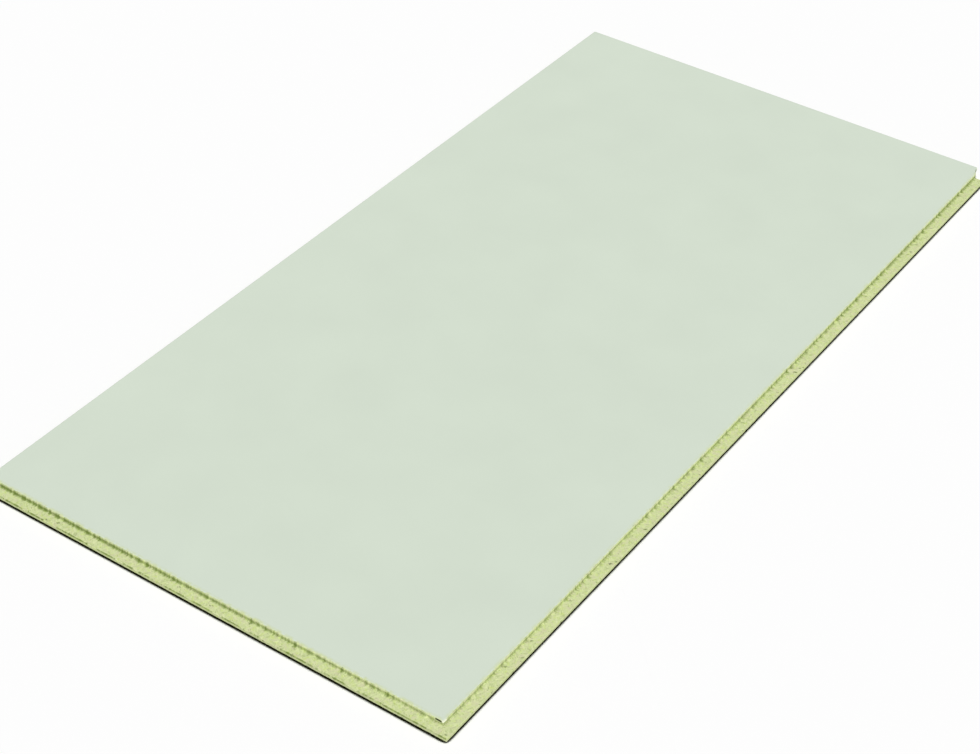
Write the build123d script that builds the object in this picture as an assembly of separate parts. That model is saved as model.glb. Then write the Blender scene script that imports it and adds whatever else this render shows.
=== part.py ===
from build123d import *
import os

# A foil-faced chipboard ceiling panel, lying on its back with its face up.
# Tongues are milled on the edges at -X and -Y, grooves in the edges at +X and +Y.
# Lengths are in millimetres. The origin is at the middle of the panel's outline, on its back.

# Format: what one panel covers, between its joints
cover_length = 1200.0
cover_width = 600.0
thickness = 12.0

# Face foil, and the bevel that is milled through it into the chipboard all round the face
foil_thickness = 0.2
face_bevel = 1.0
face_corner_radius = 1.5

# Tongue, whose far end is sawn off a little short of the groove that crosses it
front_shoulder = 4.5
tongue_thickness = 4.0
tongue_reach = 12.5
tongue_bevel = 0.5
tongue_end_gap = 5.5

# Groove: the tongue's size and the play that it needs
groove_play = 0.25
groove_end_gap = 1.0
mouth_bevel = 0.5

# The back stands a little behind the face all round, so that the face joint closes first
back_relief = 0.6

# How far a cut runs past what it cuts
overrun = 2.0

overall_length = cover_length + tongue_reach
overall_width = cover_width + tongue_reach
face_centre_x = tongue_reach / 2
face_centre_y = tongue_reach / 2
foil_underside = thickness - foil_thickness
tongue_top = thickness - front_shoulder
tongue_bottom = tongue_top - tongue_thickness
groove_top = tongue_top + groove_play
groove_bottom = tongue_bottom - groove_play
groove_depth = tongue_reach + groove_end_gap


def front_layer():
    """The layer in front of the tongue, foil included, with its upper edges bevelled."""
    outline = RectangleRounded(cover_length, cover_width, face_corner_radius)
    layer = Pos(face_centre_x, face_centre_y, tongue_top) * extrude(outline, front_shoulder)
    top_edges = layer.faces().sort_by(Axis.Z)[-1].edges()
    return chamfer(top_edges, face_bevel)


def foil_space():
    """A slab that is larger than the panel all round and starts at the foil's underside."""
    height = foil_thickness + overrun
    slab = Box(overall_length + 2 * overrun, overall_width + 2 * overrun, height)
    return Pos(0, 0, foil_underside + height / 2) * slab


def tongue_layer():
    """The layer that the tongues are part of, with bevels along their tips."""
    middle = (tongue_bottom + tongue_top) / 2
    layer = Pos(0, 0, middle) * Box(overall_length, overall_width, tongue_thickness)
    tips = [layer.faces().sort_by(axis)[0] for axis in (Axis.X, Axis.Y)]
    tip_edges = [edge for tip in tips for edge in tip.edges().filter_by(Axis.Z, reverse=True)]
    return chamfer(tip_edges, tongue_bevel) - tongue_end_cuts()


def tongue_end_cuts():
    """What is sawn off each tongue's far end, so that it stops short of the groove that crosses it."""
    run = groove_depth + tongue_end_gap + overrun
    reach = tongue_reach + overrun
    height = tongue_thickness + 2 * overrun
    long_end = Box(run, reach, height, align=(Align.MIN, Align.MAX, Align.MIN))
    short_end = Box(reach, run, height, align=(Align.MAX, Align.MIN, Align.MIN))
    long_start = overall_length / 2 - groove_depth - tongue_end_gap
    short_start = overall_width / 2 - groove_depth - tongue_end_gap
    near_x = tongue_reach - overall_length / 2
    near_y = tongue_reach - overall_width / 2
    low = tongue_bottom - overrun
    return Pos(long_start, near_y, low) * long_end + Pos(near_x, short_start, low) * short_end


def back_layer():
    """The layer behind the tongue, relieved all round."""
    length = cover_length - 2 * back_relief
    width = cover_width - 2 * back_relief
    return Pos(face_centre_x, face_centre_y, tongue_bottom / 2) * Box(length, width, tongue_bottom)


def groove_section():
    """The groove's section: X is measured outwards from the face's edge, Y up from the back."""
    front_mouth = mouth_bevel + overrun
    back_mouth = back_relief + mouth_bevel + overrun
    return Polyline(
        (-groove_depth, groove_bottom),
        (-back_relief - mouth_bevel, groove_bottom),
        (overrun, groove_bottom - back_mouth),
        (overrun, groove_top + front_mouth),
        (-mouth_bevel, groove_top),
        (-groove_depth, groove_top),
        close=True,
    )


def groove_cut(plane, run):
    """The groove's section drawn on a plane across the edge, and run along the edge both ways."""
    section = make_face(plane * groove_section())
    return extrude(section, run / 2 + overrun, both=True)


def chipboard_board():
    """The pressed chipboard with its milled edges, one solid."""
    board = front_layer() - foil_space() + tongue_layer() + back_layer()
    long_edge = Plane(origin=(0, overall_width / 2, 0), x_dir=(0, 1, 0), z_dir=(1, 0, 0))
    short_edge = Plane(origin=(overall_length / 2, 0, 0), x_dir=(1, 0, 0), z_dir=(0, -1, 0))
    board -= groove_cut(long_edge, overall_length)
    board -= groove_cut(short_edge, overall_width)
    return board


def face_foil():
    """The foil: the front layer's top, so that its edge is part of the bevel."""
    return front_layer() & foil_space()


def one_solid(shape):
    """The single solid that a node is written as."""
    return shape.solids().sort_by(SortBy.VOLUME)[-1]


nodes = {
    "chipboard_board": chipboard_board(),
    "face_foil": face_foil(),
}

os.makedirs("parts", exist_ok=True)
for name, shape in nodes.items():
    solid = one_solid(shape)
    solid.label = name
    export_step(solid, f"parts/{name}.step")
    print(f"{name}: {len(shape.solids())} solid, {solid.volume:.1f} cubic millimetres")
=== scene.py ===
import itertools
import math

import bpy
import numpy as np
from mathutils import Matrix, Vector


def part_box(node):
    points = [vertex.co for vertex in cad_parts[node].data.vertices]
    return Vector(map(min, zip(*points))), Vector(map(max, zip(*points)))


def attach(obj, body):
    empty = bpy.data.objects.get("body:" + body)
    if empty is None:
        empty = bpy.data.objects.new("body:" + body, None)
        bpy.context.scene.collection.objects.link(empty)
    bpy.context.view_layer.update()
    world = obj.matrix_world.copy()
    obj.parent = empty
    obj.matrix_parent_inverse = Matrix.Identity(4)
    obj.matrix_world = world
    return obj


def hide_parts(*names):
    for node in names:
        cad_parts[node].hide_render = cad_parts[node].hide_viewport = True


bl_info = {
    "name": "Chipboard ceiling panel",
    "version": (1, 0, 0),
    "blender": (4, 5, 0),
    "location": "3D View > Sidebar > Ceiling panel",
    "description": "A foil-faced chipboard ceiling panel with milled tongues and grooves, on a pale floor",
    "category": "Object",
}

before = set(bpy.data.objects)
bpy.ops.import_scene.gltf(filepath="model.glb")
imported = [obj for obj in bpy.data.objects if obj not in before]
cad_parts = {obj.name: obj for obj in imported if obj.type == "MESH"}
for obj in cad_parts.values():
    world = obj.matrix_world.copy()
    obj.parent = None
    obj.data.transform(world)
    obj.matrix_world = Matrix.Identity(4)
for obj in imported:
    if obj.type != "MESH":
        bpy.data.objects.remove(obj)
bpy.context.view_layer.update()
BOARD_LOW, BOARD_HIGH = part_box("chipboard_board")
FOIL_LOW, FOIL_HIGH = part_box("face_foil")
MM = 0.001
FOIL_INSET = BOARD_HIGH.x - FOIL_HIGH.x
NEAR = np.array([FOIL_LOW.x - FOIL_INSET, FOIL_LOW.y - FOIL_INSET])
FAR = np.array([BOARD_HIGH.x, BOARD_HIGH.y])
FACE_Z = FOIL_HIGH.z
TONGUE_REACH = NEAR[0] - BOARD_LOW.x


def linear_from_hex(code):
    """The linear red, green and blue of an sRGB hex code."""
    values = [int(code[i:i + 2], 16) / 255 for i in (1, 3, 5)]
    return tuple(v / 12.92 if v <= 0.04045 else ((v + 0.055) / 1.055) ** 2.4 for v in values)


class PanelSizes(bpy.types.PropertyGroup):
    """Sizes of the panel's edges, and of the foil's milled edge."""
    foil_thickness: bpy.props.FloatProperty(
        name="Foil thickness", description="Thickness of the face foil",
        default=FOIL_HIGH.z - FOIL_LOW.z, unit="LENGTH", subtype="DISTANCE")
    foil_raggedness: bpy.props.FloatProperty(
        name="Foil raggedness", description="How far the milled edge of the foil wanders inwards",
        default=0.4 * MM, unit="LENGTH", subtype="DISTANCE")
    foil_roll: bpy.props.FloatProperty(
        name="Foil roll", description="How far the foil's edge is rolled down",
        default=0.12 * MM, unit="LENGTH", subtype="DISTANCE")
    face_bevel: bpy.props.FloatProperty(
        name="Face bevel", description="Width of the bevel that is milled through the foil round the face",
        default=1.0 * MM, unit="LENGTH", subtype="DISTANCE")
    corner_radius: bpy.props.FloatProperty(
        name="Corner radius", description="Radius of the face's corners, seen from above",
        default=1.5 * MM, unit="LENGTH", subtype="DISTANCE")
    front_shoulder: bpy.props.FloatProperty(
        name="Front shoulder", description="From the face down to the top of the tongue",
        default=4.5 * MM, unit="LENGTH", subtype="DISTANCE")
    tongue_thickness: bpy.props.FloatProperty(
        name="Tongue thickness", description="Thickness of the tongue",
        default=4.0 * MM, unit="LENGTH", subtype="DISTANCE")
    tongue_bevel: bpy.props.FloatProperty(
        name="Tongue bevel", description="Width of the bevels along the tongue's tip and the groove's mouth",
        default=0.5 * MM, unit="LENGTH", subtype="DISTANCE")
    tongue_end_gap: bpy.props.FloatProperty(
        name="Tongue end gap", description="How far short of the crossing groove the tongue's far end stops",
        default=5.5 * MM, unit="LENGTH", subtype="DISTANCE")
    groove_play: bpy.props.FloatProperty(
        name="Groove play", description="Play above and below the tongue in its groove",
        default=0.25 * MM, unit="LENGTH", subtype="DISTANCE")
    groove_end_gap: bpy.props.FloatProperty(
        name="Groove end gap", description="How much deeper the groove is than the tongue reaches",
        default=1.0 * MM, unit="LENGTH", subtype="DISTANCE")
    back_relief: bpy.props.FloatProperty(
        name="Back relief", description="How far the back stands behind the face's edge",
        default=0.6 * MM, unit="LENGTH", subtype="DISTANCE")


class ChipSizes(bpy.types.PropertyGroup):
    """Sizes of the chips that the board is pressed from, and of what milling does to them."""
    length: bpy.props.FloatProperty(
        name="Chip length", description="Usual length of a core chip",
        default=5.0 * MM, unit="LENGTH", subtype="DISTANCE")
    width: bpy.props.FloatProperty(
        name="Chip width", description="Usual width of a core chip",
        default=2.0 * MM, unit="LENGTH", subtype="DISTANCE")
    thickness: bpy.props.FloatProperty(
        name="Chip thickness", description="Usual thickness of a core chip, which lies flat in the board",
        default=0.6 * MM, unit="LENGTH", subtype="DISTANCE")
    relief: bpy.props.FloatProperty(
        name="Relief", description="How far milled chips lie below the cut",
        default=0.12 * MM, unit="LENGTH", subtype="DISTANCE")
    torn_depth: bpy.props.FloatProperty(
        name="Torn depth", description="Depth of a hollow where the cutter tore a chip out",
        default=0.6 * MM, unit="LENGTH", subtype="DISTANCE")
    torn_share: bpy.props.FloatProperty(
        name="Torn share", description="Share of the milled chips that are torn out",
        default=0.012, min=0, max=1)
    crease_torn_share: bpy.props.FloatProperty(
        name="Torn share in the crease", description="Share of the chips torn out where wall and tongue meet",
        default=0.15, min=0, max=1)
    broken_length: bpy.props.FloatProperty(
        name="Broken length", description="How far the broken corner reaches along the face's long edge",
        default=18.0 * MM, unit="LENGTH", subtype="DISTANCE")
    broken_width: bpy.props.FloatProperty(
        name="Broken width", description="How far the broken corner reaches along the face's short edge",
        default=5.8 * MM, unit="LENGTH", subtype="DISTANCE")
    column_spacing: bpy.props.FloatProperty(
        name="Column spacing", description="Distance between the mesh's columns along the edges",
        default=1.2 * MM, unit="LENGTH", subtype="DISTANCE")


# What every colour of the panel is shown as
COLOUR = {"subtype": "COLOR", "size": 3, "min": 0, "max": 1}


class PanelColours(bpy.types.PropertyGroup):
    """Colours of the foil, of the chips and of the floor."""
    foil: bpy.props.FloatVectorProperty(
        name="Foil", description="Pale sage paint of the face foil",
        default=linear_from_hex("#D3DECE"), **COLOUR)
    chip: bpy.props.FloatVectorProperty(
        name="Chip", description="Most of the milled chips",
        default=linear_from_hex("#CCD79F"), **COLOUR)
    chip_light: bpy.props.FloatVectorProperty(
        name="Light chip", description="Light flecks",
        default=linear_from_hex("#DDE5AE"), **COLOUR)
    chip_dark: bpy.props.FloatVectorProperty(
        name="Dark chip", description="Dark flecks",
        default=linear_from_hex("#B8C489"), **COLOUR)
    chip_tan: bpy.props.FloatVectorProperty(
        name="Tan chip", description="Patches where the wood took less of the green tint",
        default=linear_from_hex("#D1D1A9"), **COLOUR)
    chip_lime: bpy.props.FloatVectorProperty(
        name="Lime chip", description="Patches where the wood took more of the green tint",
        default=linear_from_hex("#CADA88"), **COLOUR)
    # Nick colour: painted highlight on the break at the near corner, and painted light on the bevel
    nick: bpy.props.FloatVectorProperty(
        name="Nick", description="Fresh pale break at the near corner, and the fine pale chips of the bevel",
        default=linear_from_hex("#ECEFD6"), **COLOUR)
    # Crease colour: dark hairs in the grain, and painted shade with crushed fibre where wall and tongue meet
    crease: bpy.props.FloatVectorProperty(
        name="Crease", description="Crushed fibre and dust where wall and tongue meet",
        default=linear_from_hex("#728638"), **COLOUR)
    # Painted shade in the depths of the torn hollows
    hollow_shade: bpy.props.FloatVectorProperty(
        name="Hollow", description="Depths of the torn hollows",
        default=linear_from_hex("#5E6B3A"), **COLOUR)
    slit: bpy.props.FloatVectorProperty(
        name="Slit", description="Depth of the one longer break-out, which no light reaches",
        default=linear_from_hex("#12140A"), **COLOUR)
    contact: bpy.props.FloatVectorProperty(
        name="Contact shadow", description="Deepest shade of the floor, where the panel shuts it in",
        default=linear_from_hex("#1C1F0C"), **COLOUR)
    floor: bpy.props.FloatVectorProperty(
        name="Floor", description="Studio floor",
        default=linear_from_hex("#FFFFFF"), **COLOUR)


class StageSizes(bpy.types.PropertyGroup):
    """Where the camera stands, how the light falls, and the floor's size."""
    aim: bpy.props.FloatVectorProperty(
        name="Aim", description="Point of the face that the camera looks at, from the face's near corner",
        default=(0.4588, 0.2659, 0.0), unit="LENGTH", subtype="TRANSLATION", size=3)
    azimuth: bpy.props.FloatProperty(
        name="Azimuth", description="Camera's direction round the panel; at 0 it looks along +Y",
        default=math.radians(-56.139), unit="ROTATION", subtype="ANGLE")
    elevation: bpy.props.FloatProperty(
        name="Elevation", description="Camera's height above the horizon, seen from the aim",
        default=math.radians(38.341), unit="ROTATION", subtype="ANGLE")
    distance: bpy.props.FloatProperty(
        name="Distance", description="From the camera to the aim",
        default=2.4797, unit="LENGTH", subtype="DISTANCE")
    roll: bpy.props.FloatProperty(
        name="Roll", description="Camera's turn about its own axis",
        default=math.radians(1.600), unit="ROTATION", subtype="ANGLE")
    lens: bpy.props.FloatProperty(
        name="Lens", description="Focal length in millimetres, on a 36 mm sensor", default=80.09)
    key_strength: bpy.props.FloatProperty(
        name="Key strength", description="Strength of the soft key light", default=3.01)
    key_spread: bpy.props.FloatProperty(
        name="Key spread", description="Angle that the key light spreads over, which softens its shadows",
        default=math.radians(25), unit="ROTATION", subtype="ANGLE")
    key_azimuth: bpy.props.FloatProperty(
        name="Key azimuth", description="Direction that the key light comes from, counted as the camera's",
        default=math.radians(-42), unit="ROTATION", subtype="ANGLE")
    key_elevation: bpy.props.FloatProperty(
        name="Key elevation", description="Key light's height above the horizon",
        default=math.radians(55), unit="ROTATION", subtype="ANGLE")
    sky: bpy.props.FloatProperty(
        name="Sky", description="Strength of the even light from all round", default=0.2)
    floor_size: bpy.props.FloatProperty(
        name="Floor size", description="Side of the floor", default=40.0, unit="LENGTH", subtype="DISTANCE")


TABLE_SIZE = 65536
RANDOM_TABLE = np.random.default_rng(7).random(TABLE_SIZE)
# One seed for each pattern, so that no two are alike. A crowd of chips takes four, from its own upwards.
SEEDS = {"lying": 11, "chips one way": 20, "chips the other way": 40, "torn chips": 60, "torn patches": 80,
         "foil wander": 90, "foil fray": 91, "foil nick": 92, "break": 95, "arris": 96}
# The two directions that chips lie in, patch by patch, and the one of the torn chips, in radians about Z
CHIP_TURNS = (0.5, -1.1)
TORN_CHIP_TURN = 0.9


def cell_random(cell, seed):
    """A number from 0 to 1 for each lattice cell: its whole-number coordinates are multiplied by large
    primes, mixed by exclusive or, and looked up in a table of random numbers."""
    mixed = cell[:, 0] * 73856093 ^ cell[:, 1] * 19349663 ^ cell[:, 2] * 83492791 ^ seed * 668265263
    return RANDOM_TABLE[mixed & (TABLE_SIZE - 1)]


def chip_at(points, chip, turn, seed):
    """A random number for the chip that each point lies in. Chips are a crowd of centres, one somewhere in
    each box of a lattice of the chip's size, turned about Z, and a point belongs to the nearest centre."""
    c, s = math.cos(turn), math.sin(turn)
    turned = points @ np.array([[c, s, 0], [-s, c, 0], [0, 0, 1]])
    grid = turned / np.array(chip)
    base = np.floor(grid).astype(np.int64)
    nearest = np.full(len(points), np.inf)
    value = np.zeros(len(points))
    for step in itertools.product((-1, 0, 1), repeat=3):
        cell = base + np.array(step)
        centre = cell + np.stack([cell_random(cell, seed + axis) for axis in range(3)], axis=1)
        distance = ((centre - grid) ** 2).sum(axis=1)
        closer = distance < nearest
        nearest = np.where(closer, distance, nearest)
        value = np.where(closer, cell_random(cell, seed + 3), value)
    return value


def soft_noise(points, cell, seed):
    """Smooth noise from 0 to 1: random numbers at the corners of a lattice of the given cell, blended
    across each box by the curve 3 f squared less 2 f cubed along every axis."""
    grid = points / cell
    base = np.floor(grid).astype(np.int64)
    part = grid - base
    blend = part * part * (3 - 2 * part)
    total = np.zeros(len(points))
    for step in itertools.product((0, 1), repeat=3):
        weight = np.prod(np.where(np.array(step) == 1, blend, 1 - blend), axis=1)
        total += weight * cell_random(base + np.array(step), seed)
    return total


# Rows of the mesh down each part of the edge's section
BEVEL_ROWS, WALL_ROWS, LIP_ROWS, TONGUE_ROWS, TIP_ROWS, BACK_ROWS = 2, 3, 6, 8, 2, 2
CREASE_WIDTH = 1.2 * MM
# Less than this is no length or area, and points alike to so many decimals are one
TINY = 1e-12
SAME_PLACE_DECIMALS = 7
# The broken corner's line: how it bends, how rough it is, and the size of the lumps of its roughness
BREAK_BEND = 1.8
BREAK_ROUGHNESS = 1.4 * MM
BREAK_LUMP = 2.2 * MM


def stretch(start, end, spacing):
    """Points from start up to, but without, end, in even steps of about the spacing."""
    start, end = np.array(start, float), np.array(end, float)
    count = max(1, round(float(np.abs(end - start).max()) / spacing))
    return start + (end - start) * (np.arange(count) / count)[:, None]


def ring(walk, inset_near, inset_far, radius):
    """The walk's points brought onto a rectangle: each goes to the nearest point of the face's rectangle,
    moved inwards by the insets on the tongue sides and on the groove sides, and then in each corner onto
    an arc of the radius, along the line to the arc's centre."""
    flat = np.clip(walk, NEAR + inset_near, FAR - inset_far)
    centre = np.clip(flat, NEAR + inset_near + radius[0], FAR - inset_far - radius[1])
    away = flat - centre
    reach = np.abs(away).max(axis=1)
    length = np.maximum(np.hypot(away[:, 0], away[:, 1]), TINY)
    return centre + away * (reach / length)[:, None]


def carry_round(walk, section):
    """Carries the edge's section round the panel. Each row of the section is a ring round the panel, at its
    own height, and as far out as it says on the tongue sides and on the groove sides."""
    rows = []
    for out_tongue, out_groove, height, near_radius, far_radius in section:
        flat = ring(walk, -out_tongue, -out_groove, (near_radius, far_radius))
        rows.append(np.column_stack([flat, np.full(len(walk), height)]))
    return np.stack(rows)


def between(first, last, count):
    """Rows of a section from first up to, but without, last, in even steps."""
    share = (np.arange(count) / count)[:, None]
    return [tuple(row) for row in np.array(first) * (1 - share) + np.array(last) * share]


def broken_off(grid, chips, back):
    """The grid with the panel's corner beyond the long tongue's far end broken off. There no point lies
    further along X than a curve: the broken length, times 1 less the share of the broken width to the
    power of the bend, short of the far edge. Soft noise over Y and Z roughens it, and each row stays a
    given way back from it."""
    share = np.clip((grid[..., 1] - NEAR[1]) / chips.broken_width, 0, None)
    y, z = grid[..., 1], grid[..., 2]
    level = np.stack([np.zeros(y.size), y.ravel(), z.ravel()], axis=1)
    rough = BREAK_ROUGHNESS * (soft_noise(level, BREAK_LUMP, SEEDS["break"]) - 0.5).reshape(y.shape)
    limit = FAR[0] - chips.broken_length * (1 - share ** BREAK_BEND) + rough - back
    broken = grid.copy()
    broken[..., 0] = np.minimum(grid[..., 0], limit)
    return broken


def closed_skin(name, grid):
    """A closed mesh from a grid of points, rows down the section and columns round the panel. Points that
    coincide become one, faces without area go, and the first and last row are each filled by one face."""
    rows, columns = grid.shape[:2]
    flat = np.round(grid.reshape(-1, 3), SAME_PLACE_DECIMALS)
    points, index = np.unique(flat, axis=0, return_inverse=True)
    index = index.reshape(rows, columns)
    after = np.roll(index, -1, axis=1)
    quads = np.stack([index[:-1], index[1:], after[1:], after[:-1]], axis=-1).reshape(-1, 4)
    a, b, c, d = (points[quads[:, i]] for i in range(4))
    area = np.linalg.norm(np.cross(c - a, d - b), axis=1) / 2
    faces = [ring_of(quad) for quad in quads[area > TINY].tolist()]
    faces = [face for face in faces if len(face) > 2]
    faces.append(ring_of(index[0].tolist()))
    faces.append(ring_of(index[-1].tolist())[::-1])
    mesh = bpy.data.meshes.new(name)
    used, renumbered = np.unique(np.concatenate([np.array(f) for f in faces]), return_inverse=True)
    ends = np.cumsum([len(face) for face in faces])
    starts = ends - [len(face) for face in faces]
    mesh.from_pydata(points[used], [], [renumbered[s:e].tolist() for s, e in zip(starts, ends)])
    mesh.update()
    piece = bpy.data.objects.new(name, mesh)
    bpy.context.scene.collection.objects.link(piece)
    return piece


def ring_of(numbers):
    """The numbers in their order, without repeats beside each other."""
    return [n for n, before in zip(numbers, numbers[-1:] + numbers[:-1]) if n != before]


def vectors(elements, name):
    """The named vector of each of a mesh's elements, as an array of rows."""
    values = np.empty(len(elements) * 3, np.float32)
    elements.foreach_get(name, values)
    return values.reshape(-1, 3).astype(float)


def keep_attribute(mesh, name, values):
    """Keeps one number for each vertex in a named attribute, which a material reads."""
    attribute = mesh.attributes.new(name, "FLOAT", "POINT")
    attribute.data.foreach_set("value", values.astype(np.float32))


def edge_levels(sizes):
    """Heights of the tongue and of the groove above the back."""
    top = FACE_Z - sizes.front_shoulder
    bottom = top - sizes.tongue_thickness
    return top, bottom, top + sizes.groove_play, bottom - sizes.groove_play


def tongue_steps(sizes):
    """How far out on the tongue its rows lie, from the wall to the tip's bevel: close together in the
    crease, and even from there."""
    flat_end = TONGUE_REACH - sizes.tongue_bevel
    return np.concatenate([[0, CREASE_WIDTH / 2], np.linspace(CREASE_WIDTH, flat_end, TONGUE_ROWS + 1)])


def board_section(sizes):
    """The section of the board's edge, from under the foil down to the back. Each row is how far out from
    the face's edge it lies on the tongue sides and on the groove sides, its height, and its corner radii."""
    tongue_top, tongue_bottom, groove_top, groove_bottom = edge_levels(sizes)
    bevel, mouth, relief = sizes.face_bevel, sizes.tongue_bevel, sizes.back_relief
    tip = TONGUE_REACH
    depth = tip + sizes.groove_end_gap
    arc = sizes.corner_radius
    rounded, near_only, square = (arc, arc), (arc, 0), (0, 0)
    steps = tongue_steps(sizes)

    face = (-FOIL_INSET, -FOIL_INSET, BOARD_HIGH.z) + rounded
    shoulder = (0, 0, FACE_Z - bevel) + rounded
    low_wall = (0, 0, groove_top + mouth) + rounded
    mouth_in = (0, -mouth, groove_top) + rounded
    lip = (0, -relief - mouth, groove_top) + rounded
    root = (0, -depth, groove_top) + near_only
    crease = (0, -depth, tongue_top) + near_only
    tongue_upper = [(out, -depth, tongue_top) + square for out in steps[1:]]
    tip_high = (tip, -depth, tongue_top - mouth) + square
    tip_low = (tip, -depth, tongue_bottom + mouth) + square
    tongue_lower = [(out, -depth, tongue_bottom) + square for out in steps[::-1]]
    under = (-relief, -depth, tongue_bottom) + square
    groove_floor = (-relief, -depth, groove_bottom) + square
    back_lip = (-relief, -relief - mouth, groove_bottom) + square
    back_top = (-relief, -relief, groove_bottom - mouth) + square
    back = (-relief, -relief, BOARD_LOW.z) + square
    return (
        between(face, shoulder, BEVEL_ROWS) + between(shoulder, low_wall, WALL_ROWS) + [low_wall, mouth_in]
        + between(lip, root, LIP_ROWS) + [root, crease] + tongue_upper
        + between(tip_high, tip_low, TIP_ROWS) + [tip_low] + tongue_lower + [under]
        + between(groove_floor, back_lip, LIP_ROWS) + [back_lip] + between(back_top, back, BACK_ROWS) + [back]
    )


def board_walk(sizes, spacing):
    """The walk round the panel's outline. From the long tongue's far end it goes along the wall to the
    groove that crosses there, along both grooves, back to the short tongue's far end, and round both
    tongues. Across an edge its points lie where the section's rows do."""
    (x0, y0), (x1, y1) = NEAR, FAR
    mouth, relief, tip = sizes.tongue_bevel, sizes.back_relief, TONGUE_REACH
    depth = tip + sizes.groove_end_gap
    end = depth + sizes.tongue_end_gap
    lip_end = relief + mouth
    lip_step = (depth - lip_end) / LIP_ROWS
    steps = tongue_steps(sizes)
    short_end = [(x0 - out, y1 - end) for out in steps]
    long_end = [(x1 - end, y0 - out) for out in steps[:0:-1]]
    return np.concatenate([
        stretch((x1 - end, y0), (x1 - depth, y0), spacing),
        stretch((x1 - depth, y0), (x1 - lip_end, y0), lip_step), [(x1 - lip_end, y0), (x1 - mouth, y0)],
        [(x1, y0)], stretch((x1, y0 + relief), (x1, y1), spacing),
        stretch((x1, y1), (x0 + relief, y1), spacing), [(x0 + relief, y1), (x0, y1), (x0, y1 - mouth)],
        stretch((x0, y1 - lip_end), (x0, y1 - depth), lip_step),
        stretch((x0, y1 - depth), (x0, y1 - end), spacing), short_end,
        stretch((x0 - tip, y1 - end), (x0 - tip, y0 - tip), spacing),
        stretch((x0 - tip, y0 - tip), (x1 - end, y0 - tip), spacing), [(x1 - end, y0 - tip)], long_end,
    ])


def near_line(points, start, end, width):
    """How near the points are to a line between two places: 1 on it, falling to 0 at the width, as a
    smooth bump, 1 less the squared share of the width, all squared."""
    start, end = np.array(start), np.array(end)
    along = end - start
    share = np.clip((points - start) @ along / (along @ along), 0, 1)
    distance = np.linalg.norm(points - start - share[:, None] * along, axis=1)
    return np.clip(1 - (distance / width) ** 2, 0, 1) ** 2


LYING_PATCH = 9 * MM
# Torn chips are a little smaller, and gathered in patches and along the crease
TORN_CHIP_SHARE = 0.7
TORN_PATCH = 30 * MM
TORN_CREASE_WIDTH = 1.5 * MM
# Heights under the foil and over the back over which the relief fades out
FOIL_FADE = 1.5 * MM
BACK_FADE = 1.0 * MM
# The break-out on the short wall. Its ends are millimetres from the near corner and below the face.
BREAK_OUT_ENDS = ((3.6, 1.2), (9.2, 1.1))
BREAK_OUT_RADIUS = 1.6 * MM
BREAK_OUT_DEPTH = 1.6 * MM
BREAK_OUT_FADE = 0.3 * MM


def milled_depth(points, chips, tongue_top):
    """How deep each point lies below the cut: a chip's relief by the square of its own random number, and
    for the few that are torn out a hollow, by the square root of how far their number passes the share
    that stays. More are torn out near the crease between wall and tongue. The flat back and the edge of the
    foil stay as they are, but for the break-out."""
    (x0, y0), (x1, y1) = NEAR, FAR
    size = np.array((chips.length, chips.width, chips.thickness))
    chip = np.where(soft_noise(points, LYING_PATCH, SEEDS["lying"]) > 0.5,
                    chip_at(points, size, CHIP_TURNS[0], SEEDS["chips one way"]),
                    chip_at(points, size, CHIP_TURNS[1], SEEDS["chips the other way"]))
    corner = (x0, y0, tongue_top)
    crease = np.maximum(near_line(points, corner, (x1, y0, tongue_top), TORN_CREASE_WIDTH),
                        near_line(points, corner, (x0, y1, tongue_top), TORN_CREASE_WIDTH))
    share = chips.torn_share + (chips.crease_torn_share - chips.torn_share) * crease
    share *= 0.4 + 1.2 * soft_noise(points, TORN_PATCH, SEEDS["torn patches"])
    small = chip_at(points, TORN_CHIP_SHARE * size, TORN_CHIP_TURN, SEEDS["torn chips"])
    torn = np.clip((small - (1 - share)) / np.maximum(share, TINY), 0, 1)
    depth = chips.relief * chip ** 2 + chips.torn_depth * np.sqrt(torn) * (1 - 0.5 * crease)
    below_foil = BOARD_HIGH.z - points[:, 2]
    depth *= np.clip(below_foil / FOIL_FADE, 0, 1) * np.clip(points[:, 2] / BACK_FADE, 0, 1)
    start, end = [(x0, y0 + along * MM, FACE_Z - down * MM) for along, down in BREAK_OUT_ENDS]
    break_out = near_line(points, start, end, BREAK_OUT_RADIUS) * np.clip(below_foil / BREAK_OUT_FADE, 0, 1)
    return np.maximum(depth, BREAK_OUT_DEPTH * break_out * (0.75 + 0.25 * chip))


# Crushed fibre and painted crease shade on the short and on the long wall: how far it spreads out on the
# tongue, how much less of it there is under the foil, how much there is at the near end, and how much more at
# the far end
SHORT_FIBRE_AND_SHADE = (2.6 * MM, 0.4, 0.41, 0.31)
LONG_FIBRE_AND_SHADE = (3.4 * MM, 0.5, 0.35, 0.22)
# Near the corner the long wall has a little more of it, further up
CORNER_FIBRE_AND_SHADE_REACH = 60 * MM
CORNER_FIBRE_AND_SHADE = 0.09
CORNER_FIBRE_AND_SHADE_UP = 0.35
# It is even up to this height over the tongue, and thins out over the next
FIBRE_AND_SHADE_EVEN = 2 * MM
FIBRE_AND_SHADE_THINNING = 2.5 * MM
ARRIS_PATCH = 12 * MM


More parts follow.
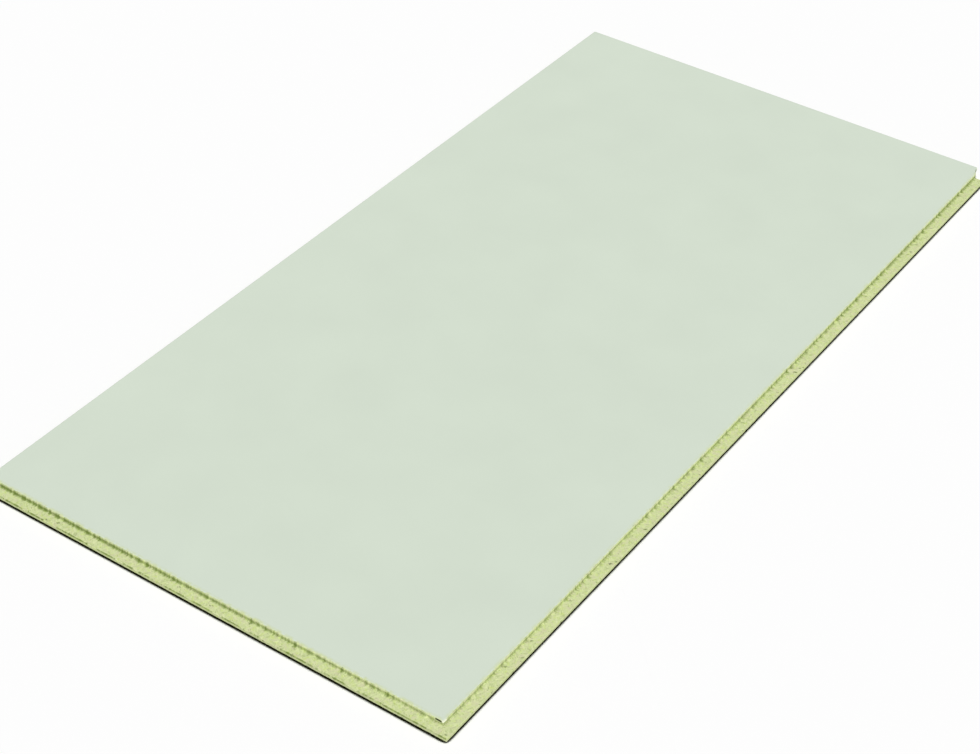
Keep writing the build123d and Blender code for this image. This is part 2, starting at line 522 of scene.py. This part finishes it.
def crushed_fibre_and_shade(points, on_short, sizes, tongue_top):
    """How much crushed fibre and painted shade lies at each point, the shade standing for the crease between
    wall and tongue. It is even on the lower wall, less under the foil, and falls off on the tongue as a bell
    curve. It grows towards each edge's far end and, on the long wall, towards the near corner. Stretches of
    the short tongue's upper arris are marked by soft noise. There is none below the tongue's top or on the
    groove sides."""
    outwards = np.maximum(NEAR - points[:, :2], 0).max(axis=1)
    above = points[:, 2] - tongue_top
    share_x, share_y = ((points[:, :2] - NEAR) / (FAR - NEAR)).T
    spread, less, near, more = np.where(on_short[:, None], SHORT_FIBRE_AND_SHADE, LONG_FIBRE_AND_SHADE).T
    by_corner = np.exp(-np.abs(points[:, 0] - NEAR[0]) / CORNER_FIBRE_AND_SHADE_REACH) * ~on_short
    less = (less - CORNER_FIBRE_AND_SHADE_UP * by_corner) * np.clip((above - FIBRE_AND_SHADE_EVEN) / FIBRE_AND_SHADE_THINNING, 0, 1)
    fibre_and_shade = np.exp(-(outwards / spread) ** 2) * (1 - less)
    fibre_and_shade *= near + more * np.where(on_short, share_y, share_x) + CORNER_FIBRE_AND_SHADE * by_corner
    # The short tongue's upper arris gets dashes of painted shade in the crease colour
    rim = 1.2 * sizes.tongue_bevel
    arris = on_short & (outwards > TONGUE_REACH - rim) & (above > -rim)
    marked = np.clip(2.4 * soft_noise(points, ARRIS_PATCH, SEEDS["arris"]) - 0.6, 0, 0.75)
    fibre_and_shade = np.where(arris, marked, fibre_and_shade)
    low = (above < -0.1 * MM) & ~arris
    fibre_and_shade[low | (share_x > 0.999) | (share_y > 0.999)] = 0
    return fibre_and_shade


SHARP_ANGLE = math.radians(35)


def mill(piece, chips, sizes):
    """Sinks the skin's points along their normals, as a cutter leaves chips. The attribute sunk keeps the
    depth over the torn depth, fibre_and_shade keeps the crushed fibre and the painted crease shade, and along
    the place along the edge."""
    mesh = piece.data
    points = vectors(mesh.vertices, "co")
    tongue_top = FACE_Z - sizes.front_shoulder
    on_short = points[:, 0] - NEAR[0] < points[:, 1] - NEAR[1]
    depth = milled_depth(points, chips, tongue_top)
    moved = points - vectors(mesh.vertex_normals, "vector") * depth[:, None]
    mesh.vertices.foreach_set("co", moved.astype(np.float32).ravel())
    keep_attribute(mesh, "sunk", depth / chips.torn_depth)
    keep_attribute(mesh, "fibre_and_shade", crushed_fibre_and_shade(points, on_short, sizes, tongue_top))
    keep_attribute(mesh, "along", np.where(on_short, points[:, 1], points[:, 0]))
    mesh.shade_smooth()
    mesh.set_sharp_from_angle(angle=SHARP_ANGLE)
    mesh.update()


FOIL_CORNER = 3 * MM
# Rows of the foil's top, from its edge inwards: millimetres in from the bevel, the shares of the roll and of
# the raggedness that are left there, and millimetres that the row stays back from the broken corner
FOIL_TOP_ROWS = [
    (0, 1, 1, 0.15), (0.25, 0.42, 1, 0.3), (0.6, 0.12, 1, 0.5), (1.2, 0, 0.5, 0.8), (4, 0, 0, 1),
]
FOIL_UNDERSIDE_BACK = 0.1
# Lengths of the foil's wandering, of its fray and of the nick's lumps, and the nick's depth and reach
FOIL_WANDER = 3 * MM
FOIL_FRAY = 0.9 * MM
FOIL_NICK = 1.5 * MM
FOIL_NICK_DEPTH = 0.8 * MM
FOIL_NICK_REACH = 5 * MM
# Width of the foil's rim, and how much it is tinted over the short and over the long tongue: foil rubbed thin
# over the board, and painted shade, more over the short tongue
RIM_WIDTH = 4 * MM
RIM_WEAR_AND_SHADE = (1, 2 / 3)


def foil_grid(sizes, chips):
    """The foil's skin as a grid: rings round the face, from the middle of its top out to its milled edge and
    in under it. The milled edge lies on the board's bevel and rolls down to it. On the tongue sides it
    wanders inwards by the square of soft noise and frays by the cube of finer noise, and it goes further in
    at the near corner. Each corner's points wander as one, because their rings meet there."""
    (x0, y0), (x1, y1) = NEAR, FAR
    corners = [(x0, y0), (x1, y0), (x1, y1), (x0, y1)]
    sides = zip(corners, corners[1:] + corners[:1])
    walk = np.concatenate([stretch(a, b, chips.column_spacing) for a, b in sides])
    held = np.clip(walk, NEAR + FOIL_CORNER, FAR - FOIL_CORNER)
    level = np.column_stack([held, np.zeros(len(walk))])
    wander = sizes.foil_raggedness * soft_noise(level, FOIL_WANDER, SEEDS["foil wander"]) ** 2
    fray = sizes.foil_raggedness * soft_noise(level, FOIL_FRAY, SEEDS["foil fray"]) ** 3
    from_corner = np.hypot(*(held - NEAR - FOIL_CORNER).T)
    nick = FOIL_NICK_DEPTH * np.clip(1 - from_corner / FOIL_NICK_REACH, 0, 1)
    nick *= 0.4 + soft_noise(level, FOIL_NICK, SEEDS["foil nick"])
    on_groove = (held >= FAR - FOIL_CORNER).any(axis=1)
    extra = np.where(on_groove, 0, wander + fray + nick)[:, None]
    arc, bevel = sizes.corner_radius, sizes.face_bevel
    rows = [(FOIL_INSET, FOIL_LOW.z, 1, FOIL_UNDERSIDE_BACK)]
    for inwards, drop_share, part, back in FOIL_TOP_ROWS:
        rows.append((bevel + inwards * MM, FACE_Z - sizes.foil_roll * drop_share, part, back))
    rings = []
    for inset, height, part, back in rows:
        flat = ring(walk, inset + extra * part, inset + extra * part, (arc, arc))
        row = np.column_stack([flat, np.full(len(walk), height)])
        rings.append(broken_off(row, chips, back * MM))
    return np.stack(rings[::-1])


def mark_rim(piece, sizes):
    """Keeps in the attribute rim how much each point of the foil is tinted, as foil rubbed thin and as
    painted
    shade: most at the milled edge over a tongue, and not at all from the rim's width inwards."""
    inwards = vectors(piece.data.vertices, "co")[:, :2] - NEAR - sizes.face_bevel
    worn_and_shaded = np.clip(1 - inwards / RIM_WIDTH, 0, 1) * RIM_WEAR_AND_SHADE
    keep_attribute(piece.data, "rim", worn_and_shaded.max(axis=1))


def add_node(tree, kind, inputs=None, **settings):
    """Adds a node with its settings, and with its inputs set to values or linked to sockets. Numbers stand
    for inputs: on Map Range 1 and 2 are the range in and 3 and 4 the range out, and on Mix 2 and 3 are
    numbers, 4 and 5 vectors, and 6 and 7 colours."""
    node = tree.nodes.new(kind)
    for name, value in settings.items():
        setattr(node, name, value)
    for name, value in (inputs or {}).items():
        if isinstance(value, bpy.types.NodeSocket):
            tree.links.new(value, node.inputs[name])
        else:
            node.inputs[name].default_value = value
    return node


def new_material(name):
    """An empty node material."""
    material = bpy.data.materials.new(name)
    material.use_nodes = True
    material.node_tree.nodes.clear()
    return material, material.node_tree


def set_ramp(node, stops):
    """Gives a colour ramp its stops, each a place and a linear colour."""
    elements = node.color_ramp.elements
    while len(elements) > 1:
        elements.remove(elements[-1])
    elements[0].position = stops[0][0]
    elements[0].color = (*stops[0][1], 1)
    for place, colour in stops[1:]:
        elements.new(place).color = (*colour, 1)


# Patches of chips that lie one way, and of fibres that lie one way, with the fibres' directions
FLECK_PATCH = 6 * MM
FIBRE_PATCH = 8 * MM
FIBRE_TURNS = (0.6, -0.7)


def chip_flecks(tree, place, chips, share):
    """Nodes that give each chip its own number from 0 to 1: cells of a share of the chip's size, lying flat
    and turned one way or the other, patch by patch."""
    flecks = []
    for turn in CHIP_TURNS:
        scale = [1 / (share * size) for size in (chips.length, chips.width, chips.thickness)]
        turned = add_node(tree, "ShaderNodeMapping", {"Vector": place, "Rotation": (0, 0, turn)})
        scaled = add_node(tree, "ShaderNodeMapping", {"Vector": turned.outputs[0], "Scale": scale})
        cells = add_node(tree, "ShaderNodeTexVoronoi", {"Vector": scaled.outputs[0], "Scale": 1.0})
        split = add_node(tree, "ShaderNodeSeparateColor", {"Color": cells.outputs["Color"]})
        flecks.append(split.outputs["Red"])
    scale = 1 / (share * FLECK_PATCH)
    lying = add_node(tree, "ShaderNodeTexNoise", {"Vector": place, "Scale": scale, "Detail": 2.0})
    chosen = add_node(tree, "ShaderNodeMath", {0: lying.outputs["Fac"], 1: 0.5}, operation="GREATER_THAN")
    return add_node(tree, "ShaderNodeMix", {0: chosen.outputs[0], 2: flecks[0], 3: flecks[1]}).outputs[0]


def fibres(tree, place, colour, colours):
    """Nodes that lay pale splinters and a few dark hairs over a colour: thin streaks of noise, drawn out
    along one direction or another, patch by patch. Each kind has its length and width, the noise at which
    it starts to show and shows fully, and how much it then covers."""
    lying = add_node(tree, "ShaderNodeTexNoise", {"Vector": place, "Scale": 1 / FIBRE_PATCH, "Detail": 2.0})
    chosen = add_node(tree, "ShaderNodeMath", {0: lying.outputs["Fac"], 1: 0.5}, operation="GREATER_THAN")
    one_way, other_way = [add_node(tree, "ShaderNodeMapping", {"Vector": place, "Rotation": (0, 0, turn)})
                          for turn in FIBRE_TURNS]
    turned = add_node(tree, "ShaderNodeMix",
                      {0: chosen.outputs[0], 4: one_way.outputs[0], 5: other_way.outputs[0]},
                      data_type="VECTOR")
    splinters = (6 * MM, 0.8 * MM, 0.54, 0.66, 0.8, colours.chip_light)
    hairs = (3.5 * MM, 0.7 * MM, 0.64, 0.74, 0.7, colours.crease)
    for length, width, low, high, most, fibre in (splinters, hairs):
        drawn = add_node(tree, "ShaderNodeMapping",
                         {"Vector": turned.outputs[1], "Scale": (1 / length, 1 / width, 1 / width)})
        streak = add_node(tree, "ShaderNodeTexNoise",
                          {"Vector": drawn.outputs[0], "Scale": 1.0, "Detail": 1.0, "Distortion": 0.3})
        shown = add_node(tree, "ShaderNodeMapRange",
                         {0: streak.outputs["Fac"], 1: low, 2: high, 3: 0.0, 4: most})
        mixed = add_node(tree, "ShaderNodeMix", {0: shown.outputs[0], 6: colour, 7: (*fibre, 1)},
                         data_type="RGBA")
        colour = mixed.outputs[2]
    return colour


def patches(tree, place, size, detail, noise_range, share_range):
    """Nodes that give soft patches of a size: noise of that size, with its range stretched to another."""
    noise = add_node(tree, "ShaderNodeTexNoise", {"Vector": place, "Scale": 1 / size, "Detail": detail})
    (low, high), (least, most) = noise_range, share_range
    return add_node(tree, "ShaderNodeMapRange",
                    {0: noise.outputs["Fac"], 1: low, 2: high, 3: least, 4: most}).outputs[0]


def tints(tree, place, colour, colours):
    """Nodes that lay two tints over a colour in soft patches, where the wood took less of the green and
    where it took more. Each has its patches' size and detail, and the rest as a fibre has it."""
    tan = (5 * MM, 4.0, 0.47, 0.64, 0.85, colours.chip_tan)
    lime = (4 * MM, 2.0, 0.52, 0.64, 0.75, colours.chip_lime)
    for patch, detail, low, high, most, tint in (tan, lime):
        shown = patches(tree, place, patch, detail, (low, high), (0.0, most))
        mixed = add_node(tree, "ShaderNodeMix", {0: shown, 6: colour, 7: (*tint, 1)}, data_type="RGBA")
        colour = mixed.outputs[2]
    return colour


# Width of the teeth of crushed fibre and painted crease shade, and how far the grain shifts them along the
# edge
CRUSHED_TOOTH = 6 * MM
CRUSHED_SHIFT = 4 * MM


def fibre_and_shade_share(tree, grain):
    """Nodes that say how much crushed fibre and painted crease shade lies at a point: a comb of noise along
    the edge, which the attribute fibre_and_shade has to overcome, so that its teeth reach up the wall and out
    on the tongue unevenly."""
    fibre_and_shade = add_node(tree, "ShaderNodeAttribute", attribute_name="fibre_and_shade")
    along = add_node(tree, "ShaderNodeAttribute", attribute_name="along")
    shifted = add_node(tree, "ShaderNodeMath", {0: grain, 1: CRUSHED_SHIFT, 2: along.outputs["Fac"]},
                       operation="MULTIPLY_ADD")
    comb = add_node(tree, "ShaderNodeTexNoise",
                    {"W": shifted.outputs[0], "Scale": 1 / CRUSHED_TOOTH, "Detail": 5.0, "Roughness": 0.75},
                    noise_dimensions="1D")
    gap = add_node(tree, "ShaderNodeMapRange", {0: comb.outputs["Fac"], 1: 0.3, 2: 0.7, 3: 1.0, 4: 0.0})
    strong = add_node(tree, "ShaderNodeMath", {0: fibre_and_shade.outputs["Fac"], 1: 1.5}, operation="MULTIPLY")
    over = add_node(tree, "ShaderNodeMath", {0: strong.outputs[0], 1: gap.outputs[0]}, operation="SUBTRACT")
    share = add_node(tree, "ShaderNodeMapRange", {0: over.outputs[0], 1: -0.12, 2: 0.6, 3: 0.0, 4: 0.9})
    return share.outputs[0]


def bevel_light_share(tree, place, height):
    """Nodes that say how far painted light pales the bevel: a little all round the face, and almost fully as
    a painted highlight in the small nick at the near corner, a ball about a point of the face's edge beside
    the corner."""
    middle = (NEAR[0] + 2.2 * MM, NEAR[1], FACE_Z - 0.5 * MM)
    away = add_node(tree, "ShaderNodeVectorMath", {0: place, 1: middle}, operation="DISTANCE")
    within = add_node(tree, "ShaderNodeMapRange",
                      {0: away.outputs["Value"], 1: 3.0 * MM, 2: 4.2 * MM, 3: 0.9, 4: 0.1})
    high = add_node(tree, "ShaderNodeMapRange", {0: height, 1: FACE_Z - 1.6 * MM, 2: FACE_Z - 0.9 * MM})
    share = add_node(tree, "ShaderNodeMath", {0: within.outputs[0], 1: high.outputs[0]},
                     operation="MULTIPLY")
    return share.outputs[0]


# How far the coarse core reaches from the board's middle, and the share of its chips' size outside it
CORE_HALF = 3.4 * MM
FINE_CHIP_SHARE = 0.4
CHIP_GRAIN = 1.1 * MM


def chipboard_material(chips, colours):
    """Moisture-resistant chipboard, milled: flat wood chips pressed with resin, tinted green, coarse in the
    core and fine towards both faces. The cutter leaves it matt, flecked light and dark chip by chip, with
    painted shade in the hollows where chips were torn out, crushed fibre and painted shade in the crease, and
    painted light on the bevel and on the near corner's nick. The grain of about a millimetre
    stands for fibre that is finer, and is drawn as coarse as it needs to show."""
    material, tree = new_material("milled_moisture_resistant_chipboard")
    place = add_node(tree, "ShaderNodeTexCoord").outputs["Object"]
    height = add_node(tree, "ShaderNodeSeparateXYZ", {0: place}).outputs["Z"]
    middle = (BOARD_LOW.z + FACE_Z) / 2
    off_middle = add_node(tree, "ShaderNodeMath", {0: height, 1: middle}, operation="SUBTRACT")
    off_middle = add_node(tree, "ShaderNodeMath", {0: off_middle.outputs[0]}, operation="ABSOLUTE")
    outer = add_node(tree, "ShaderNodeMapRange",
                     {0: off_middle.outputs[0], 1: CORE_HALF, 2: CORE_HALF + 1.0 * MM}).outputs[0]
    coarse = chip_flecks(tree, place, chips, 1.0)
    fine = chip_flecks(tree, place, chips, FINE_CHIP_SHARE)
    fleck = add_node(tree, "ShaderNodeMix", {0: outer, 2: coarse, 3: fine}).outputs[0]
    ramp = add_node(tree, "ShaderNodeValToRGB", {"Fac": fleck})
    set_ramp(ramp, [(0.0, colours.chip_dark), (0.3, colours.chip), (0.75, colours.chip),
                    (1.0, colours.chip_light)])
    grain = add_node(tree, "ShaderNodeTexNoise",
                     {"Vector": place, "Scale": 1 / CHIP_GRAIN, "Detail": 4.0, "Roughness": 0.7})
    tone = add_node(tree, "ShaderNodeMapRange",
                    {0: grain.outputs["Fac"], 1: 0.25, 2: 0.75, 3: 0.92, 4: 1.08})
    wood = fibres(tree, place, tints(tree, place, ramp.outputs[0], colours), colours)
    grained = add_node(tree, "ShaderNodeMix", {0: 1.0, 6: wood, 7: tone.outputs[0]},
                       data_type="RGBA", blend_type="MULTIPLY")
    # Crushed fibre and painted crease shade, in the crease colour
    fibre_and_shade_mix = fibre_and_shade_share(tree, grain.outputs["Fac"])
    grained = add_node(tree, "ShaderNodeMix",
                       {0: fibre_and_shade_mix, 6: grained.outputs[2], 7: (*colours.crease, 1)}, data_type="RGBA")
    # Painted light on the bevel and painted highlight on the near corner's nick
    grained = add_node(tree, "ShaderNodeMix",
                       {0: bevel_light_share(tree, place, height), 6: grained.outputs[2], 7: (*colours.nick, 1)},
                       data_type="RGBA")
    # Painted shade: the deeper a point is sunk, the more it takes the hollow colour
    sunk = add_node(tree, "ShaderNodeAttribute", attribute_name="sunk")
    deep = add_node(tree, "ShaderNodeMapRange", {0: sunk.outputs["Fac"], 1: 0.2, 2: 1.2})
    hollow_shaded = add_node(tree, "ShaderNodeMix",
                        {0: deep.outputs[0], 6: grained.outputs[2], 7: (*colours.hollow_shade, 1)},
                        data_type="RGBA")
    ragged = add_node(tree, "ShaderNodeMath", {0: grain.outputs["Fac"], 1: 1.6, 2: sunk.outputs["Fac"]},
                      operation="MULTIPLY_ADD")
    unlit = add_node(tree, "ShaderNodeMapRange", {0: ragged.outputs[0], 1: 1.85, 2: 2.0})
    final = add_node(tree, "ShaderNodeMix",
                     {0: unlit.outputs[0], 6: hollow_shaded.outputs[2], 7: (*colours.slit, 1)}, data_type="RGBA")
    bump = add_node(tree, "ShaderNodeBump", {"Height": fleck, "Strength": 0.5, "Distance": chips.relief})
    shader = add_node(tree, "ShaderNodeBsdfPrincipled",
                      {"Base Color": final.outputs[2], "Roughness": 0.88, "Specular IOR Level": 0.25,
                       "Normal": bump.outputs[0]})
    add_node(tree, "ShaderNodeOutputMaterial", {"Surface": shader.outputs[0]})
    return material


FOIL_BLOTCH = 90 * MM
FOIL_RIM_PATCH = 5 * MM
FOIL_TOOTH = 1.2 * MM
FOIL_TOOTH_DEPTH = 0.03 * MM


def foil_material(colours):
    """Painted paper foil, pressed on: pale sage, smooth and matt, so even that only broad faint blotches
    and a fine tooth show. The paper's own tooth is finer, and is drawn as coarse as it needs to show.
    Towards its milled edge the foil is rubbed thin and lets a little green through, and painted shade darkens
    it there, more over the short tongue."""
    material, tree = new_material("painted_paper_foil")
    place = add_node(tree, "ShaderNodeTexCoord").outputs["Object"]
    tone = patches(tree, place, FOIL_BLOTCH, 3.0, (0.3, 0.7), (0.985, 1.015))
    even = add_node(tree, "ShaderNodeMix", {0: 1.0, 6: (*colours.foil, 1), 7: tone},
                    data_type="RGBA", blend_type="MULTIPLY")
    # Towards the milled edge: foil rubbed thin over the board, and painted shade
    rim = add_node(tree, "ShaderNodeAttribute", attribute_name="rim")
    rim_patches = patches(tree, place, FOIL_RIM_PATCH, 3.0, (0.35, 0.65), (0.0, 1.0))
    worn_and_shaded = add_node(tree, "ShaderNodeMath", {0: rim.outputs["Fac"], 1: rim_patches}, operation="MULTIPLY")
    colour = add_node(tree, "ShaderNodeMix",
                      {0: worn_and_shaded.outputs[0], 6: even.outputs[2], 7: (*colours.chip, 1)}, data_type="RGBA")
    tooth = add_node(tree, "ShaderNodeTexNoise",
                     {"Vector": place, "Scale": 1 / FOIL_TOOTH, "Detail": 3.0, "Roughness": 0.6})
    bump = add_node(tree, "ShaderNodeBump",
                    {"Height": tooth.outputs["Fac"], "Strength": 0.3, "Distance": FOIL_TOOTH_DEPTH})
    shader = add_node(tree, "ShaderNodeBsdfPrincipled",
                      {"Base Color": colour.outputs[2], "Roughness": 0.62, "Specular IOR Level": 0.3,
                       "Normal": bump.outputs[0]})
    add_node(tree, "ShaderNodeOutputMaterial", {"Surface": shader.outputs[0]})
    return material


def seen_directly(tree):
    """Nodes that are 1 for rays that show a thing, straight, mirrored or through glass, and 0 for others."""
    ray = add_node(tree, "ShaderNodeLightPath").outputs
    seen = ray["Is Camera Ray"]
    for kind in ("Is Glossy Ray", "Is Transmission Ray"):
        seen = add_node(tree, "ShaderNodeMath", {0: seen, 1: ray[kind]}, operation="MAXIMUM").outputs[0]
    return seen


# How much light the floor throws back, how far off the panel shuts it in, and the open shares at which it is
# darkest and fully lit
FLOOR_THROWN = 0.7
CONTACT_REACH = 12 * MM
CONTACT_SAMPLES = 24
CONTACT_OPEN = (0.53, 0.61)


def studio_floor_material(colours):
    """Matt painted studio floor, as white as the light on it. It looks whiter than the light that it throws
    back onto the panel's edges, and darkens where the panel shuts it in, so that the shadow under the
    tongues stays deep."""
    material, tree = new_material("matt_painted_floor")
    thrown = add_node(tree, "ShaderNodeBsdfDiffuse", {"Color": (FLOOR_THROWN,) * 3 + (1,)})
    open_share = add_node(tree, "ShaderNodeAmbientOcclusion", {"Distance": CONTACT_REACH},
                          samples=CONTACT_SAMPLES)
    lit = add_node(tree, "ShaderNodeMapRange",
                   {0: open_share.outputs["AO"], 1: CONTACT_OPEN[0], 2: CONTACT_OPEN[1]})
    dimmed = add_node(tree, "ShaderNodeMix",
                      {0: lit.outputs[0], 6: (*colours.contact, 1), 7: (*colours.floor, 1)},
                      data_type="RGBA")
    shown = add_node(tree, "ShaderNodeBsdfDiffuse", {"Color": dimmed.outputs[2]})
    chosen = add_node(tree, "ShaderNodeMixShader",
                      {0: seen_directly(tree), 1: thrown.outputs[0], 2: shown.outputs[0]})
    add_node(tree, "ShaderNodeOutputMaterial", {"Surface": chosen.outputs[0]})
    return material


def build_world(sky):
    """An even pale light from all round, which the camera sees as white."""
    world = bpy.data.worlds.new("studio_world")
    bpy.context.scene.world = world
    world.use_nodes = True
    tree = world.node_tree
    tree.nodes.clear()
    light = add_node(tree, "ShaderNodeBackground", {"Color": (1, 1, 1, 1), "Strength": sky})
    white = add_node(tree, "ShaderNodeBackground", {"Color": (1, 1, 1, 1), "Strength": 1.0})
    shown = add_node(tree, "ShaderNodeMixShader",
                     {0: seen_directly(tree), 1: light.outputs[0], 2: white.outputs[0]})
    add_node(tree, "ShaderNodeOutputWorld", {"Surface": shown.outputs[0]})


def build_floor(side, colours):
    """A flat square floor under the panel, one quad."""
    half = side / 2
    mesh = bpy.data.meshes.new("studio_floor")
    corners = np.array([(-half, -half, 0), (half, -half, 0), (half, half, 0), (-half, half, 0)])
    mesh.from_pydata(corners + np.array([0, 0, BOARD_LOW.z]), [], [(0, 1, 2, 3)])
    floor = bpy.data.objects.new("studio_floor", mesh)
    floor.data.materials.append(studio_floor_material(colours))
    bpy.context.scene.collection.objects.link(floor)


def direction(azimuth, elevation):
    """The unit vector from the panel towards an azimuth and an elevation; azimuth 0 lies along -Y."""
    flat = math.cos(elevation)
    return Vector((math.sin(azimuth) * flat, -math.cos(azimuth) * flat, math.sin(elevation)))


SENSOR_WIDTH = 36.0


def build_camera(stage):
    """The camera at the photograph's viewing angle."""
    data = bpy.data.cameras.new("camera")
    camera = bpy.data.objects.new("camera", data)
    bpy.context.scene.collection.objects.link(camera)
    aim = Vector((*NEAR, FACE_Z)) + Vector(stage.aim)
    back = direction(stage.azimuth, stage.elevation)
    turn = (-back).to_track_quat("-Z", "Y").to_matrix().to_4x4()
    camera.matrix_world = (Matrix.Translation(aim + back * stage.distance) @ turn
                           @ Matrix.Rotation(stage.roll, 4, "Z"))
    data.sensor_width = SENSOR_WIDTH
    data.lens = stage.lens
    bpy.context.scene.camera = camera


def build_key_light(stage):
    """A soft light from far away, so that it is even over the whole panel."""
    data = bpy.data.lights.new("key_light", "SUN")
    data.energy = stage.key_strength
    data.angle = stage.key_spread
    light = bpy.data.objects.new("key_light", data)
    bpy.context.scene.collection.objects.link(light)
    shining = -direction(stage.key_azimuth, stage.key_elevation)
    light.rotation_euler = shining.to_track_quat("-Z", "Y").to_euler()


class PANEL_OT_board(bpy.types.Operator):
    """Make the chipboard with its milled edges"""
    bl_idname = "ceiling_panel.board"
    bl_label = "Chipboard"

    def execute(self, context):
        scene = context.scene
        sizes, chips = scene.panel_sizes, scene.chip_sizes
        grid = carry_round(board_walk(sizes, chips.column_spacing), board_section(sizes))
        board = closed_skin("milled_board", broken_off(grid, chips, 0))
        mill(board, chips, sizes)
        board.data.materials.append(chipboard_material(chips, scene.panel_colours))
        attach(board, "root")
        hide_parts("chipboard_board")
        return {"FINISHED"}


class PANEL_OT_foil(bpy.types.Operator):
    """Make the face foil with its milled edge"""
    bl_idname = "ceiling_panel.foil"
    bl_label = "Face foil"

    def execute(self, context):
        scene = context.scene
        foil = closed_skin("pressed_foil", foil_grid(scene.panel_sizes, scene.chip_sizes))
        mark_rim(foil, scene.panel_sizes)
        foil.data.materials.append(foil_material(scene.panel_colours))
        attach(foil, "root")
        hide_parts("face_foil")
        return {"FINISHED"}


class PANEL_OT_stage(bpy.types.Operator):
    """Make the floor, the light and the camera"""
    bl_idname = "ceiling_panel.stage"
    bl_label = "Stage"

    def execute(self, context):
        stage = context.scene.stage_sizes
        build_floor(stage.floor_size, context.scene.panel_colours)
        build_world(stage.sky)
        build_key_light(stage)
        build_camera(stage)
        context.scene.view_settings.view_transform = "Standard"
        return {"FINISHED"}


class PANEL_PT_sidebar(bpy.types.Panel):
    """The ceiling panel's sizes, colours and operators"""
    bl_idname = "PANEL_PT_sidebar"
    bl_label = "Ceiling panel"
    bl_space_type = "VIEW_3D"
    bl_region_type = "UI"
    bl_category = "Ceiling panel"

    def draw(self, context):
        for group in ("panel_sizes", "chip_sizes", "panel_colours", "stage_sizes"):
            box = self.layout.box()
            settings = getattr(context.scene, group)
            for name in settings.__annotations__:
                box.prop(settings, name)
        for operator in (PANEL_OT_board, PANEL_OT_foil, PANEL_OT_stage):
            self.layout.operator(operator.bl_idname)


CLASSES = (PanelSizes, ChipSizes, PanelColours, StageSizes, PANEL_OT_board, PANEL_OT_foil, PANEL_OT_stage,
           PANEL_PT_sidebar)
GROUPS = {"panel_sizes": PanelSizes, "chip_sizes": ChipSizes, "panel_colours": PanelColours,
          "stage_sizes": StageSizes}


def register():
    """Registers the classes and puts the settings on the scene."""
    for cls in CLASSES:
        bpy.utils.register_class(cls)
    for name, group in GROUPS.items():
        setattr(bpy.types.Scene, name, bpy.props.PointerProperty(type=group))


def unregister():
    """Takes the settings off the scene and unregisters the classes."""
    for name in GROUPS:
        delattr(bpy.types.Scene, name)
    for cls in reversed(CLASSES):
        bpy.utils.unregister_class(cls)


def main():
    """Makes the panel and its stage."""
    register()
    bpy.ops.ceiling_panel.board()
    bpy.ops.ceiling_panel.foil()
    bpy.ops.ceiling_panel.stage()


if __name__ == "__main__":
    main()
